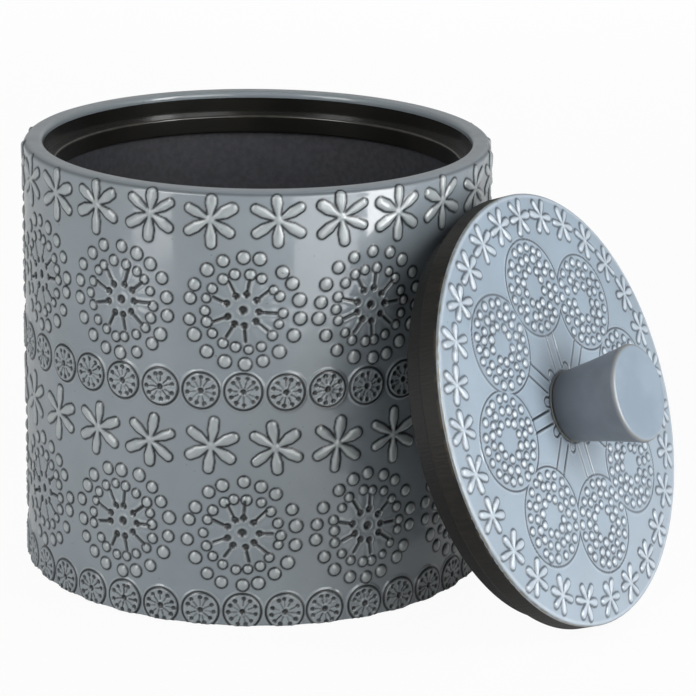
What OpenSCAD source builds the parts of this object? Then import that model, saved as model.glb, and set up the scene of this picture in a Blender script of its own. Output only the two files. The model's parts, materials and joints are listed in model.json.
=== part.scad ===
// Round jar for cotton pads: a dark moulded cup clad in an embossed, glazed sleeve.
// Its inset lid is off and leans against the wall, on edge, with its knob outwards.
// Millimetres, +Z up. The origin is the centre of the jar's underside.

/* [Jar] */
// Outer radius of the sleeve's plain wall
jar_r = 57; // [52:0.5:64]
// Height of the rim above the surface the jar stands on
jar_h = 105.8; // [100:0.2:125]
// Width of the flat rim, from the outer wall to the mouth
rim_w = 4.75; // [4:0.25:6]
// Thickness of the sleeve's sheet
sheet_t = 0.8; // [0.6:0.1:1]
// Radius of the rim's outer edge
rim_round = 1.5; // [1.2:0.1:1.8]
// Radius of the rim's inner lip
lip_round = 1.1; // [1.1:0.1:1.3]
// Depth that the sleeve's lip turns down into the mouth
lip_depth = 1.6; // [1.4:0.1:2.4]
// Thickness of the cup's floor
floor_t = 4.6; // [3.4:0.2:8]
// Radius of the hollow where the cup's wall meets its floor
cove_r = 5; // [2:0.5:10]
// Thickening of the cup's wall below the ledge ring, which the ring stands on
wall_step = 1.2; // [0.8:0.1:2]

/* [Ledge ring] */
// Depth of the ledge below the rim
ledge_depth = 5.7; // [4.6:0.1:9]
// Height of the ring that makes the ledge
ledge_t = 4.6; // [2:0.2:8]
// Width of the ledge that the lid sits on
ledge_w = 2.75; // [2:0.25:5]
// Step in the recess's wall at the ledge, which the ring is let in behind
ring_step = 0.6; // [0.4:0.1:0.8]
// Radius of the ring's inner edges
ledge_round = 0.5; // [0.2:0.1:0.7]

/* [Base pad] */
// Thickness of the soft pad under the jar
pad_t = 1.6; // [1:0.1:2.4]
// Height that the pad stands proud of the cup
pad_proud = 0.4; // [0.2:0.1:0.8]
// Width of the cup's foot outside the pad
foot_w = 6; // [3:0.5:12]

/* [Lid] */
// Gap round the lid in the mouth
lid_gap = 0.35; // [0.2:0.05:0.8]
// Depth of the lid's face below the rim when the lid is on
face_drop = 0.1; // [0:0.1:1]
// Thickness of the embossed face sheet
face_t = 0.8; // [0.5:0.1:1.2]
// Depth of the plug below the ledge
plug_t = 5.3; // [4:0.1:8]
// Gap round the plug inside the ledge ring
plug_gap = 0.65; // [0.3:0.05:1.2]
// Radius of the lid's small edges
lid_edge_r = 0.4; // [0.2:0.1:0.4]

/* [Knob] */
// Radius of the knob just above its foot
knob_r = 8.5; // [7:0.5:10]
// Radius of the knob's free end
knob_end_r = 11.7; // [10.5:0.1:14]
// Height of the knob above the lid's face
knob_h = 21.3; // [17:0.1:28]
// Rounding where the knob's side turns in to its foot
knob_foot_round = 1.6; // [0.8:0.2:2.4]
// Radius of the edge round the knob's end
knob_edge_r = 0.6; // [0.3:0.1:1.2]
// Height of the raised ring round the knob's foot
foot_ring_h = 0.5; // [0.3:0.1:0.8]

/* [Knob screw] */
// Radius of the screw's shank
screw_r = 2; // [1.5:0.25:2.5]
// Radius of the screw's head
screw_head_r = 3.8; // [3.4:0.1:4.4]
// Height of the screw's head
screw_head_h = 2; // [1.2:0.1:2.2]
// Depth that the screw reaches into the knob
screw_grip = 10; // [6:0.5:13]
// Radius of the washer under the head
washer_r = 6; // [5:0.25:8]
// Thickness of the washer
washer_t = 0.8; // [0.5:0.1:1]

/* [Leaning lid] */
// Direction in which the lid stands from the jar, turned from the front to the right
lean_az = 59; // [20:1:160]
// Turn of the lid's face away from that direction
lid_turn = -1.6; // [-3:0.1:3]
// Lean of the lid back from upright
lean = 20.4; // [14:0.2:30]
// Gap between the lid and the wall it leans on
lean_gap = 0.4; // [0.3:0.1:1.5]
// Gap under the lid's lowest edge
stand_gap = 0.1; // [0.1:0.1:1]

/* [Wall pattern] */
// Height of the raised pattern above the wall
relief_h = 0.8; // [0.5:0.1:1]
// Number of flowers in a row
flower_count = 24; // [18:1:26]
// Radius of a flower
flower_r = 6.1; // [5:0.1:6.6]
// Width of a petal
petal_w = 2.6; // [2:0.1:3]
// Distance of the top flowers below the rim
flower_drop = 6.5; // [6.3:0.1:9]
// Number of rosettes in a row
rosette_count = 12; // [9:1:12]
// Distance of the top rosettes below the rim
rosette_drop = 28.1; // [26:0.1:30]
// Radius of a rosette's outer ring of beads
rosette_r = 12.8; // [11:0.1:13.2]
// Radius of a rosette's inner ring of beads
rosette_in_r = 8.6; // [7:0.1:9]
// Number of beads in each ring of a rosette
rosette_beads = 18; // [12:1:20]
// Radius of an outer bead
bead_r = 1.4; // [1:0.1:1.5]
// Radius of an inner bead
bead_in_r = 1.05; // [0.8:0.05:1.1]
// Number of medallions in a row
medallion_count = 36; // [24:1:36]
// Distance of the upper medallions below the rim
medallion_drop = 47.4; // [46:0.1:49]
// Radius of a medallion
medallion_r = 4.6; // [4:0.1:4.8]
// Distance from the upper three rows down to the same rows below
row_repeat = 54.3; // [53:0.1:54.6]

/* [Lid pattern] */
// Number of flowers round the lid's edge
lid_flower_count = 28; // [20:1:29]
// Radius of a flower on the lid
lid_flower_r = 4.9; // [4:0.1:5]
// Width of a petal on the lid
lid_petal_w = 1.5; // [1.1:0.1:1.8]
// Distance of the flowers' centres in from the lid's edge
lid_flower_inset = 5.4; // [5.3:0.1:6]
// Number of beaded medallions round the knob
lid_medallion_count = 8; // [6:1:8]
// Distance of the beaded medallions' centres from the knob's axis
lid_medallion_at = 30; // [29:0.25:30]
// Radius of a beaded medallion
lid_medallion_r = 11.3; // [10.6:0.1:11.4]
// Radius of a bead on the lid
lid_bead_r = 0.85; // [0.6:0.05:0.95]
// Height of the raised pattern above the lid's face
lid_relief_h = 0.55; // [0.3:0.05:0.6]

/* [Hidden] */

glue_gap = 0.05;
thread_gap = 0.05;
screw_gap = 0.3;
head_gap = 0.2;
washer_gap = 0.4;
cut = 1;

mouth_r = jar_r - rim_w;
throat_r = mouth_r - ledge_w;
ring_r = mouth_r - ring_step;
cup_r = mouth_r - wall_step;
ledge_z = jar_h - ledge_depth;
ring_z = ledge_z - ledge_t;
floor_z = pad_proud + floor_t;
pad_r = jar_r - sheet_t - foot_w;

lid_r = mouth_r - lid_gap;
lid_t = ledge_depth - face_drop;
plug_r = throat_r - plug_gap;
screw_hole_r = screw_r + screw_gap;
washer_well_r = washer_r + washer_gap;
washer_well_t = washer_t + screw_head_h + head_gap;
screw_len = screw_grip + lid_t + plug_t - washer_well_t + washer_t;

// The lid stands on its back edge, and the plug's upper edge leans on the wall.
lid_out = jar_r + lean_gap + (lid_t + plug_t) * cos(lean) + plug_r * sin(lean);
lid_up = stand_gap + lid_t * sin(lean) + lid_r * cos(lean);

// Turn of each row of the patterns from the front, and of the lid's from its right.
flower_turn = 4.5;
rosette_turn = -3;
medallion_turn = -3;
lid_medallion_turn = 87;
lid_flower_turn = 9.2;
petal_count = 6;

GLAZE = [0.55, 0.6, 0.65];
PALE_GLAZE = [0.66, 0.72, 0.79];
BRONZE = [0.2, 0.17, 0.13];
BLACK = [0.1, 0.1, 0.1];
STEEL = [0.7, 0.7, 0.72];

$fn = 96;

// Section of the wall with a rounded top, drawn in by a given depth all round.
module wall_section(depth, bottom) {
    low_r = mouth_r + depth;
    high_r = jar_r - depth;
    top = jar_h - depth;
    outer_round = rim_round - depth;
    inner_round = lip_round - depth;
    translate([low_r, bottom]) square([high_r - low_r, top - rim_round - bottom]);
    translate([low_r + inner_round, bottom])
        square([high_r - outer_round - low_r - inner_round, top - bottom]);
    translate([low_r, bottom]) square([rim_w / 2, top - inner_round - bottom]);
    translate([high_r - rim_w / 2, bottom]) square([rim_w / 2, top - outer_round - bottom]);
    translate([high_r - outer_round, top - outer_round]) circle(outer_round, $fn = 32);
    translate([low_r + inner_round, top - inner_round]) circle(inner_round, $fn = 32);
}

module outer_sleeve() {
    color(GLAZE) rotate_extrude() difference() {
        wall_section(0, pad_proud);
        wall_section(sheet_t, pad_proud - cut);
        translate([0, pad_proud - cut])
            square([mouth_r + sheet_t, jar_h - lip_depth - pad_proud + cut]);
    }
}

module inner_cup() {
    skin = sheet_t + glue_gap;
    color(BLACK) difference() {
        rotate_extrude() {
            wall_section(skin, pad_proud);
            translate([mouth_r, pad_proud])
                square([rim_w - skin, jar_h - lip_depth - glue_gap - pad_proud]);
            translate([ring_r, pad_proud]) square([ring_step + cut, ledge_z - pad_proud]);
            translate([cup_r, pad_proud]) square([wall_step + cut, ring_z - pad_proud]);
            translate([0, pad_proud]) square([cup_r + cut, floor_t]);
            translate([cup_r - cove_r, floor_z]) difference() {
                square([cove_r + cut, cove_r]);
                translate([0, cove_r]) circle(cove_r, $fn = 48);
            }
        }
        translate([0, 0, -cut]) cylinder(r = pad_r + glue_gap, h = pad_t + cut);
    }
}

module ledge_ring() {
    width = ring_r - glue_gap - throat_r;
    color(BLACK) translate([0, 0, ring_z]) rotate_extrude() {
        translate([throat_r + ledge_round, 0]) square([width - ledge_round, ledge_t]);
        translate([throat_r, ledge_round]) square([width, ledge_t - 2 * ledge_round]);
        for (z = [ledge_round, ledge_t - ledge_round])
            translate([throat_r + ledge_round, z]) circle(ledge_round, $fn = 24);
    }
}

module base_pad() {
    color([0.16, 0.16, 0.17]) cylinder(r = pad_r, h = pad_t);
}

// Puts a piece that is drawn on a level lid, face at z = 0, on the leaning lid.
module on_lid() {
    translate([lid_out * sin(lean_az), -lid_out * cos(lean_az), lid_up])
        rotate([0, 0, lean_az + lid_turn]) rotate([90 - lean, 0, 0]) children();
}

// Disc from one height to another, with its lower or upper edge rounded.
module eased_disc(r, low, high, ease_low, ease_high, ease) {
    rotate_extrude() difference() {
        translate([0, low]) square([r, high - low]);
        if (ease_low) translate([r - ease, low]) corner_cut(ease, -1);
        if (ease_high) translate([r - ease, high]) corner_cut(ease, 1);
    }
}

// What a round edge takes off a square corner; side is 1 at the top, -1 below.
module corner_cut(ease, side) {
    difference() {
        translate([0, side > 0 ? -ease : -cut]) square(ease + cut);
        translate([0, -side * ease]) circle(ease, $fn = 24);
    }
}

module lid_core() {
    color(BRONZE) on_lid() difference() {
        eased_disc(lid_r, -lid_t, -face_t, true, false, lid_edge_r);
        translate([0, 0, -lid_t - cut]) cylinder(r = screw_hole_r, h = lid_t + 2 * cut, $fn = 32);
    }
}

module lid_face() {
    color(PALE_GLAZE) on_lid() difference() {
        eased_disc(lid_r, -face_t, 0, false, true, lid_edge_r);
        translate([0, 0, -face_t - cut]) cylinder(r = screw_hole_r, h = face_t + 2 * cut, $fn = 32);
    }
}

module lid_plug() {
    back = -lid_t - plug_t;
    color(BLACK) on_lid() difference() {
        eased_disc(plug_r, back, -lid_t, true, false, lid_edge_r);
        translate([0, 0, back - cut]) cylinder(r = screw_hole_r, h = plug_t + 2 * cut, $fn = 32);
        translate([0, 0, back - cut]) cylinder(r = washer_well_r, h = washer_well_t + cut, $fn = 48);
    }
}

// The knob flares from a foot that turns in, with a raised ring round it, to a flat end.
module knob() {
    side_z = foot_ring_h + knob_foot_round;
    edge_z = knob_h - knob_edge_r;
    color(GLAZE) on_lid() difference() {
        rotate_extrude() {
            square([knob_r, foot_ring_h]);
            translate([knob_r, 0]) intersection() {
                circle(foot_ring_h, $fn = 24);
                translate([-foot_ring_h, 0]) square(2 * foot_ring_h);
            }
            square([knob_r - knob_foot_round, side_z]);
            translate([knob_r - knob_foot_round, side_z]) intersection() {
                circle(knob_foot_round, $fn = 32);
                translate([0, -knob_foot_round]) square(knob_foot_round);
            }
            polygon([[0, side_z], [knob_r, side_z], [knob_end_r, edge_z], [0, edge_z]]);
            translate([0, edge_z]) square([knob_end_r - knob_edge_r, knob_edge_r]);
            translate([knob_end_r - knob_edge_r, edge_z]) intersection() {
                circle(knob_edge_r, $fn = 24);
                square(knob_edge_r);
            }
        }
        translate([0, 0, -cut])
            cylinder(r = screw_r + thread_gap, h = screw_grip + 1 + cut, $fn = 32);
    }
}

module knob_screw() {
    head_z = -lid_t - plug_t + washer_well_t - washer_t;
    color(STEEL) on_lid() translate([0, 0, head_z]) {
        translate([0, 0, -screw_head_h]) cylinder(r = screw_head_r, h = screw_head_h, $fn = 32);
        cylinder(r = screw_r, h = screw_len, $fn = 32);
    }
}

module knob_washer() {
    color(STEEL) on_lid() translate([0, 0, -lid_t - plug_t + washer_well_t - washer_t])
        difference() {
            cylinder(r = washer_r, h = washer_t, $fn = 48);
            translate([0, 0, -cut]) cylinder(r = screw_hole_r, h = washer_t + 2 * cut, $fn = 32);
        }
}

// A bead: a cap with the given radius at its foot and height above it.
module bead(r, h) {
    ball_r = (r * r + h * h) / (2 * h);
    rotate_extrude() intersection() {
        translate([0, h - ball_r]) circle(ball_r, $fn = 32);
        square([r + cut, h + cut]);
    }
}

// A petal along +X from a narrow inner end to a round outer one, flat underneath.
module petal(inner, outer, w, h) {
    half = w / 2;
    body_r = (half * half + h * h) / (2 * h);
    sunk = body_r - h;
    long = outer - inner;
    outline = concat(
        [[0, 0], [sunk + h / 8, 0]],
        [for (a = [0, 45, 90]) [body_r * cos(a), long - half + half * sin(a)]]);
    translate([inner, 0, 0]) intersection() {
        translate([0, 0, -sunk]) rotate([0, 90, 0]) rotate_extrude($fn = 24) polygon(outline);
        translate([-cut, -w, 0]) cube([long + 2 * cut, 2 * w, 2 * h]);
    }
}

// A flat ring on its face.
module line_ring(r, w, h) {
    difference() {
        cylinder(r = r, h = h, $fn = 48);
        translate([0, 0, -cut]) cylinder(r = r - w, h = h + 2 * cut, $fn = 48);
    }
}

// Puts a shape on the wall, r from the point at (az, z) in direction a, with +Z outwards.
module on_wall(az, z, r, a) {
    turn = az + r * cos(a) / jar_r * 180 / PI;
    rotate([0, 0, turn]) translate([0, -jar_r, z + r * sin(a)])
        rotate([90, 0, 0]) rotate([0, 0, a]) children();
}

module wall_flowers() {
    mid = flower_r / 2;
    inner = petal_w * 0.42;
    color(PALE_GLAZE)
        for (row = [0, 1], i = [0:flower_count - 1], k = [0:petal_count - 1]) {
            az = flower_turn + i * 360 / flower_count;
            z = jar_h - flower_drop - row * row_repeat;
            on_wall(az, z, mid, 30 + k * 60)
                translate([-mid, 0, 0]) petal(inner, flower_r, petal_w, relief_h);
        }
}

// One row of rosettes: two rings of beads round a centre one.
module rosette_row(z) {
    for (i = [0:rosette_count - 1]) {
        az = rosette_turn + i * 360 / rosette_count;
        for (k = [0:rosette_beads - 1]) {
            a = (k + 0.5) * 360 / rosette_beads;
            on_wall(az, z, rosette_r, a) bead(bead_r, relief_h);
            on_wall(az, z, rosette_in_r, a) bead(bead_in_r, relief_h);
        }
        on_wall(az, z, 0, 0) bead(bead_r, relief_h / 2);
    }
}

module upper_rosettes() {
    color(PALE_GLAZE) rosette_row(jar_h - rosette_drop);
}

module lower_rosettes() {
    color(PALE_GLAZE) rosette_row(jar_h - rosette_drop - row_repeat);
}

// The base row of medallions ends at the wall's lower edge.
module wall_medallions() {
    ring_w = 0.6;
    color(PALE_GLAZE)
        for (row = [0, 1], i = [0:medallion_count - 1]) {
            az = medallion_turn + i * 360 / medallion_count;
            z = jar_h - medallion_drop - row * row_repeat;
            on_wall(az, z, 0, 0) {
                bead(bead_in_r, relief_h / 2);
                intersection() {
                    line_ring(medallion_r, ring_w, relief_h / 2);
                    translate([-2 * medallion_r, pad_proud - z, -cut])
                        cube([4 * medallion_r, jar_h, 3 * cut]);
                }
            }
        }
}

module lid_flowers() {
    at = lid_r - lid_flower_inset;
    inner = lid_petal_w * 0.5;
    color(PALE_GLAZE) on_lid()
        for (i = [0:lid_flower_count - 1], k = [0:petal_count - 1])
            rotate([0, 0, lid_flower_turn + i * 360 / lid_flower_count]) translate([at, 0, 0])
                rotate([0, 0, 30 + k * 60])
                    petal(inner, lid_flower_r, lid_petal_w, lid_relief_h);
}

// Puts a shape at each of the places of the lid's beaded medallions.
module each_lid_medallion() {
    for (i = [0:lid_medallion_count - 1])
        rotate([0, 0, lid_medallion_turn + i * 360 / lid_medallion_count]) children();
}

// Each medallion has three rings of beads, given by their share of its radius and their count.
module lid_beads() {
    rings = [[0.87, 20], [0.63, 16], [0.38, 10]];
    color(PALE_GLAZE) on_lid() each_lid_medallion() translate([lid_medallion_at, 0, 0])
        for (ring = rings, k = [0:ring[1] - 1])
            rotate([0, 0, k * 360 / ring[1]]) translate([ring[0] * lid_medallion_r, 0, 0])
                bead(lid_bead_r, lid_relief_h);
}

// A thin line round each medallion, and a pair of low ridges from the knob out to it.
module lid_lines() {
    line_w = 0.4;
    line_h = lid_relief_h / 2;
    pair_w = 2.6;
    start = knob_r + 2;
    end = lid_medallion_at - lid_medallion_r - line_w;
    color(PALE_GLAZE) on_lid() each_lid_medallion() {
        translate([lid_medallion_at, 0, 0]) line_ring(lid_medallion_r, line_w, line_h);
        for (side = [-1, 1])
            translate([start, (side * pair_w - line_w) / 2, 0]) cube([end - start, line_w, line_h]);
    }
}

inner_cup();
outer_sleeve();
ledge_ring();
base_pad();
wall_flowers();
upper_rosettes();
lower_rosettes();
wall_medallions();
lid_core();
lid_face();
lid_plug();
lid_flowers();
lid_beads();
lid_lines();
knob();
knob_screw();
knob_washer();
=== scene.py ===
import json
import math

import bmesh
import bpy
import numpy as np
from mathutils import Matrix, Vector


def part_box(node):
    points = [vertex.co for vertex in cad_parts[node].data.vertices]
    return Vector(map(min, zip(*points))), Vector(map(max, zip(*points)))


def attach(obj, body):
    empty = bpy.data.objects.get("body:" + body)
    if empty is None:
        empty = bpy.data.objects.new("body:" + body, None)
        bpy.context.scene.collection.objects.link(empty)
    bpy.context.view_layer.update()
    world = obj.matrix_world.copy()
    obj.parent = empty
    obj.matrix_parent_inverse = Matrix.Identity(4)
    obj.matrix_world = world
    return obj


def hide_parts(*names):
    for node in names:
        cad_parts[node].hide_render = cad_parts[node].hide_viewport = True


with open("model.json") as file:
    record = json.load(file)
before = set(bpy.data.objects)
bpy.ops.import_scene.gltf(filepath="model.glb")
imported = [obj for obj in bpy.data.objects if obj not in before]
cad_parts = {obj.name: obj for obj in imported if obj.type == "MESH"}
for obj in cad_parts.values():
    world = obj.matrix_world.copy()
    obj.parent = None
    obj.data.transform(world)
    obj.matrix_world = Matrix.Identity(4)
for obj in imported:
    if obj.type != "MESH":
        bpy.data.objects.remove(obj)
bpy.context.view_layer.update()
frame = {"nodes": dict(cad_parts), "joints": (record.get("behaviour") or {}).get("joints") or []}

# Looks of a round jar for cotton pads: an embossed, glazed wall and rim, a dark cup inside,
# and an inset lid that leans on the wall, with its knob outwards.
# Lengths are in millimetres until a mesh is made, and meshes are in metres.

MM = 0.001
QUARTER = math.pi / 2

# The jar, worked out from the frame
JAR_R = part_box("outer_sleeve")[1][0] / MM
JAR_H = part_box("outer_sleeve")[1][2] / MM
WALL_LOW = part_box("outer_sleeve")[0][2] / MM
RIM_W = 4.75
SHEET_T = 0.8
RIM_ROUND = 1.5
LIP_ROUND = 1.1
LIP_DEPTH = 1.6
LEDGE_DEPTH = 5.7
LEDGE_T = 4.6
LEDGE_W = 2.75
MOUTH_R = JAR_R - RIM_W

# Distances along the wall's section, from the table up and on over the rim: where the rim's round
# edge begins and ends, where the lip's bend begins and ends, and where the lip ends in the mouth
EDGE_FROM = JAR_H - RIM_ROUND
EDGE_TO = EDGE_FROM + RIM_ROUND * QUARTER
LIP_FROM = EDGE_TO + RIM_W - RIM_ROUND - LIP_ROUND
LIP_TO = LIP_FROM + LIP_ROUND * QUARTER
WALL_END = LIP_TO + LIP_DEPTH - LIP_ROUND

# Where the wall's bands meet, between the rows of the pattern
BAND_CUTS = [8.95, 38.25, 52.45, 63.25, 92.55, 103.8]

# The lid, level and with its face at z = 0
LID_R = 51.9
FACE_T = 0.8
LID_EDGE_R = 0.4
CROWN_H, CROWN_CURVE = 1.8, 3.8
KNOB_FOOT_R = 8.5
KNOB_END_R = 11.7
KNOB_H = 21.3
KNOB_RING_R = 8.45
KNOB_RING_LOW = CROWN_H - 0.05
KNOB_RING_H = 0.35
KNOB_RING_TOP = KNOB_RING_LOW + KNOB_RING_H

# The lid's place in the frame: the way out of its face, the ways across and up it, and its middle
LID_OUT = np.array(frame["joints"][0]["axis"], float)
LID_OUT /= np.linalg.norm(LID_OUT)
LID_ACROSS = np.cross([0, 0, 1], LID_OUT)
LID_ACROSS /= np.linalg.norm(LID_ACROSS)
LID_UP = np.cross(LID_OUT, LID_ACROSS)
FACE_LOW, FACE_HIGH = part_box("lid_face")
LID_AT = np.array((FACE_LOW + FACE_HIGH) / 2) / MM + LID_OUT * FACE_T / 2

# The embossed rows, as distances of their centres below the rim
FLOWER_DROP, ROSETTE_DROP, MEDALLION_DROP, ROW_REPEAT = 6.5, 28.1, 47.4, 54.3
FLOWERS, ROSETTES, MEDALLIONS = 24, 12, 36
FLOWER_TURN, ROSETTE_TURN, MEDALLION_TURN = 4.5, -3.0, -3.0
PETALS = 6
ROSETTE_BEADS = 18
COIN_STROKES = 11
RELIEF_H = 0.55

LID_FLOWERS, LID_FLOWER_AT, LID_FLOWER_TURN = 28, 46.2, 7.4
LID_MEDALLIONS, LID_MEDALLION_AT, LID_MEDALLION_TURN = 8, 29.3, 90.7
LID_MEDALLION_R = 11.7
LID_MEDALLION_BEADS = [(0.83, 20), (0.6, 16), (0.37, 10)]
LID_RELIEF_H = 0.5

# Spacing of the points on the embossed surfaces, and where the two pieces of the lid's face meet
AROUND = 1440
STEP = 0.25
FACE_STEPS = 292
FACE_MEET = 41.45


def make_camera():
    """The photograph's camera: its place, its turn, tilt and roll, and its focal length in pixels."""
    at = np.array([0, -740.975, 275.179]) * MM
    turn, tilt, roll = np.radians([1.762, 16.752, 0.881])
    focal_px, image_px, sensor_mm = 3106.1, 696, 36
    ahead = np.array([math.sin(turn) * math.cos(tilt), math.cos(turn) * math.cos(tilt), -math.sin(tilt)])
    level = np.cross(ahead, [0, 0, 1])
    level /= np.linalg.norm(level)
    upright = np.cross(level, ahead)
    right = level * math.cos(roll) + upright * math.sin(roll)
    up = -level * math.sin(roll) + upright * math.cos(roll)
    data = bpy.data.cameras.new("camera")
    data.lens = focal_px / image_px * sensor_mm
    data.sensor_width = sensor_mm
    camera = bpy.data.objects.new("camera", data)
    matrix = np.eye(4)
    matrix[:3, 0], matrix[:3, 1], matrix[:3, 2], matrix[:3, 3] = right, up, -ahead, at
    camera.matrix_world = Matrix(matrix.tolist())
    bpy.context.scene.collection.objects.link(camera)
    bpy.context.scene.camera = camera


# Materials


class Value:
    """A socket that takes part in sums; each operation adds a Math node."""

    def __init__(self, paint, socket):
        self.paint = paint
        self.socket = socket

    def other(self, output):
        """Another output of the same node."""
        return Value(self.paint, self.socket.node.outputs[output])

    def _sum(self, operation, *values):
        return self.paint.node("ShaderNodeMath", {"operation": operation}, dict(enumerate(values)))

    def __add__(self, other):
        return self._sum("ADD", self, other)

    def __radd__(self, other):
        return self._sum("ADD", other, self)

    def __sub__(self, other):
        return self._sum("SUBTRACT", self, other)

    def __rsub__(self, other):
        return self._sum("SUBTRACT", other, self)

    def __mul__(self, other):
        return self._sum("MULTIPLY", self, other)

    def __rmul__(self, other):
        return self._sum("MULTIPLY", other, self)

    def __pow__(self, other):
        return self._sum("POWER", self, other)


class Paint:
    """The nodes round the shader of a material or of the world; node() adds any other one."""

    def __init__(self, owner, shader="Principled BSDF"):
        owner.use_nodes = True
        self.owner = owner
        self.tree = owner.node_tree
        self.shader = self.tree.nodes[shader]

    def node(self, kind, settings=None, sockets=None, output=0):
        """Adds a node with its settings, then its sockets' values or links, and gives one output."""
        made = self.tree.nodes.new(kind)
        for name, value in (settings or {}).items():
            setattr(made, name, value)
        for name, value in (sockets or {}).items():
            self.feed(made.inputs[name], value)
        return Value(self, made.outputs[output])

    def feed(self, socket, value):
        """Links a Value to a socket, or sets the socket to a plain value."""
        if isinstance(value, Value):
            self.tree.links.new(value.socket, socket)
        elif socket.type == "RGBA" and len(value) == 3:
            socket.default_value = (*value, 1)
        else:
            socket.default_value = value

    def set(self, **sockets):
        """Sets or links the shader's sockets, named with _ for each space, and gives the material."""
        for name, value in sockets.items():
            self.feed(self.shader.inputs[name.replace("_", " ")], value)
        return self.owner

    def place(self):
        """Object coordinates, which are the frame's own, in metres."""
        return self.node("ShaderNodeTexCoord", output="Object")

    def axes(self, vector):
        """The three parts of a vector."""
        first = self.node("ShaderNodeSeparateXYZ", {}, {0: vector})
        return first, first.other(1), first.other(2)

    def vector(self, operation, sockets, output="Vector"):
        """A Vector Math node."""
        return self.node("ShaderNodeVectorMath", {"operation": operation}, sockets, output)

    def noise(self, scale, detail, where=None, rough=0.5):
        """Cloudy noise between 0 and 1, with its scale in waves for each metre."""
        sockets = {"Vector": where or self.place(), "Scale": scale, "Detail": detail, "Roughness": rough}
        return self.node("ShaderNodeTexNoise", {}, sockets, "Fac")

    def part(self, name):
        """A number kept on the mesh's points."""
        return self.node("ShaderNodeAttribute", {"attribute_name": name}, {}, "Fac")

    def ramp(self, value, low, high):
        """0 below low, 1 above high, and a smooth rise between them."""
        sockets = {"Value": value, "From Min": low, "From Max": high}
        return self.node("ShaderNodeMapRange", {"interpolation_type": "SMOOTHSTEP"}, sockets)

    def mix(self, factor, first, second):
        """A blend of two colours."""
        return self.node("ShaderNodeMix", {"data_type": "RGBA"}, {0: factor, 6: first, 7: second}, 2)

    def bump(self, height, depth, strength):
        """A normal bent by a height between 0 and 1, for a depth in metres."""
        sockets = {"Height": height, "Distance": depth, "Strength": strength}
        return self.node("ShaderNodeBump", {}, sockets, "Normal")


def new_paint(name):
    """The nodes of a new material."""
    return Paint(bpy.data.materials.new(name))


def srgb(red, green, blue):
    """A colour given as 0 to 255 in sRGB, as the linear numbers that sockets take."""
    parts = np.array([red, green, blue]) / 255
    return tuple(float(p / 12.92 if p <= 0.04045 else ((p + 0.055) / 1.055) ** 2.4) for p in parts)


def glaze(name, ground, cloud, raised, crevice, coat):
    """Fired glaze: cloudy ground, paler where the pattern is rubbed, and dark in a crevice, where the
    glaze pools and where shade is painted in.

    Where the glaze is missing, at the bare edge of the lid, the metal's dull gold shows in streaks.
    """
    paint = new_paint(name)
    bare_metal = srgb(112, 108, 90)
    clouds = paint.ramp(paint.noise(55, 3), 0.35, 0.68)
    patches = paint.ramp(paint.noise(17, 2), 0.38, 0.62)
    colour = paint.mix(clouds * 0.55, ground, cloud)
    colour = paint.mix(patches * 0.16, colour, raised)
    streak = paint.ramp(paint.noise(420, 2), 0.3, 0.7)
    colour = paint.mix(paint.part("raised") * (streak * 0.3 + 0.62), colour, raised)
    # The crevice darkness is glaze pooled in the hollows and also painted shade round the raised parts.
    pooled_and_painted_shade = paint.part("crevice") * (clouds * 0.1 + 0.95)
    colour = paint.mix(pooled_and_painted_shade, colour, crevice)
    colour = paint.mix(paint.part("bare") * (streak * 0.5 + 0.4), colour, bare_metal)
    speck = paint.ramp(paint.noise(900, 1), 0.76, 0.8)
    colour = paint.mix(speck * 0.35, colour, crevice)
    rough = paint.ramp(paint.noise(240, 2), 0.3, 0.7) * 0.1 + 0.3
    skin = paint.noise(300, 3)
    return paint.set(
        Base_Color=colour, Roughness=rough, Coat_Weight=(1 - pooled_and_painted_shade * 0.9) * coat, Coat_Roughness=0.07,
        Normal=paint.bump(skin, 0.00006, 0.6),
    )


def wall_glaze():
    """The wall's glaze: grey with a little blue, rubbed to a pale grey."""
    ground, cloud = srgb(132, 142, 149), srgb(122, 132, 137)
    # The crevice colour is glaze pooled in the hollows and also painted shade round the raised parts.
    raised, crevice = srgb(167, 174, 175), srgb(11, 14, 17)
    return glaze("wall_glaze", ground, cloud, raised, crevice, coat=0.9)


def lid_glaze():
    """The lid's glaze: paler and bluer than the wall's."""
    ground, cloud = srgb(151, 167, 181), srgb(142, 156, 169)
    # The crevice colour is glaze pooled in the hollows and also painted shade round the raised parts.
    raised, crevice = srgb(191, 202, 212), srgb(34, 40, 47)
    return glaze("lid_glaze", ground, cloud, raised, crevice, coat=0.8)


def knob_glaze():
    """Satin grey side, paler glossy end, a pale gold line where the end's edge is worn, and painted
    shade towards the foot.
    """
    paint = new_paint("knob_glaze")
    worn_gold, foot_painted_shade = srgb(142, 138, 112), srgb(58, 64, 66)
    clouds = paint.ramp(paint.noise(80, 3), 0.35, 0.65)
    side = paint.mix(clouds, srgb(104, 110, 118), srgb(116, 122, 130))
    end = paint.mix(clouds, srgb(132, 147, 161), srgb(141, 156, 170))
    colour = paint.mix(paint.part("end"), side, end)
    ragged = paint.ramp(paint.noise(500, 3), 0.3, 0.6)
    colour = paint.mix(paint.part("worn") * (ragged * 0.5 + 0.5), colour, worn_gold)
    # Painted shade towards the knob's foot.
    colour = paint.mix(paint.part("crevice"), colour, foot_painted_shade)
    rough = 0.5 - paint.part("end") * 0.22
    return paint.set(
        Base_Color=colour, Roughness=rough, Coat_Weight=paint.part("end") * 0.7 + 0.1,
        Coat_Roughness=0.08, Normal=paint.bump(paint.noise(260, 3), 0.00006, 0.5),
    )


def black_lacquer(paint):
    """The cloudy bronze-black of the recess and the ledge."""
    wash = paint.ramp(paint.noise(60, 3), 0.35, 0.65)
    return paint.mix(wash, srgb(18, 18, 15), srgb(27, 26, 22))


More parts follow.
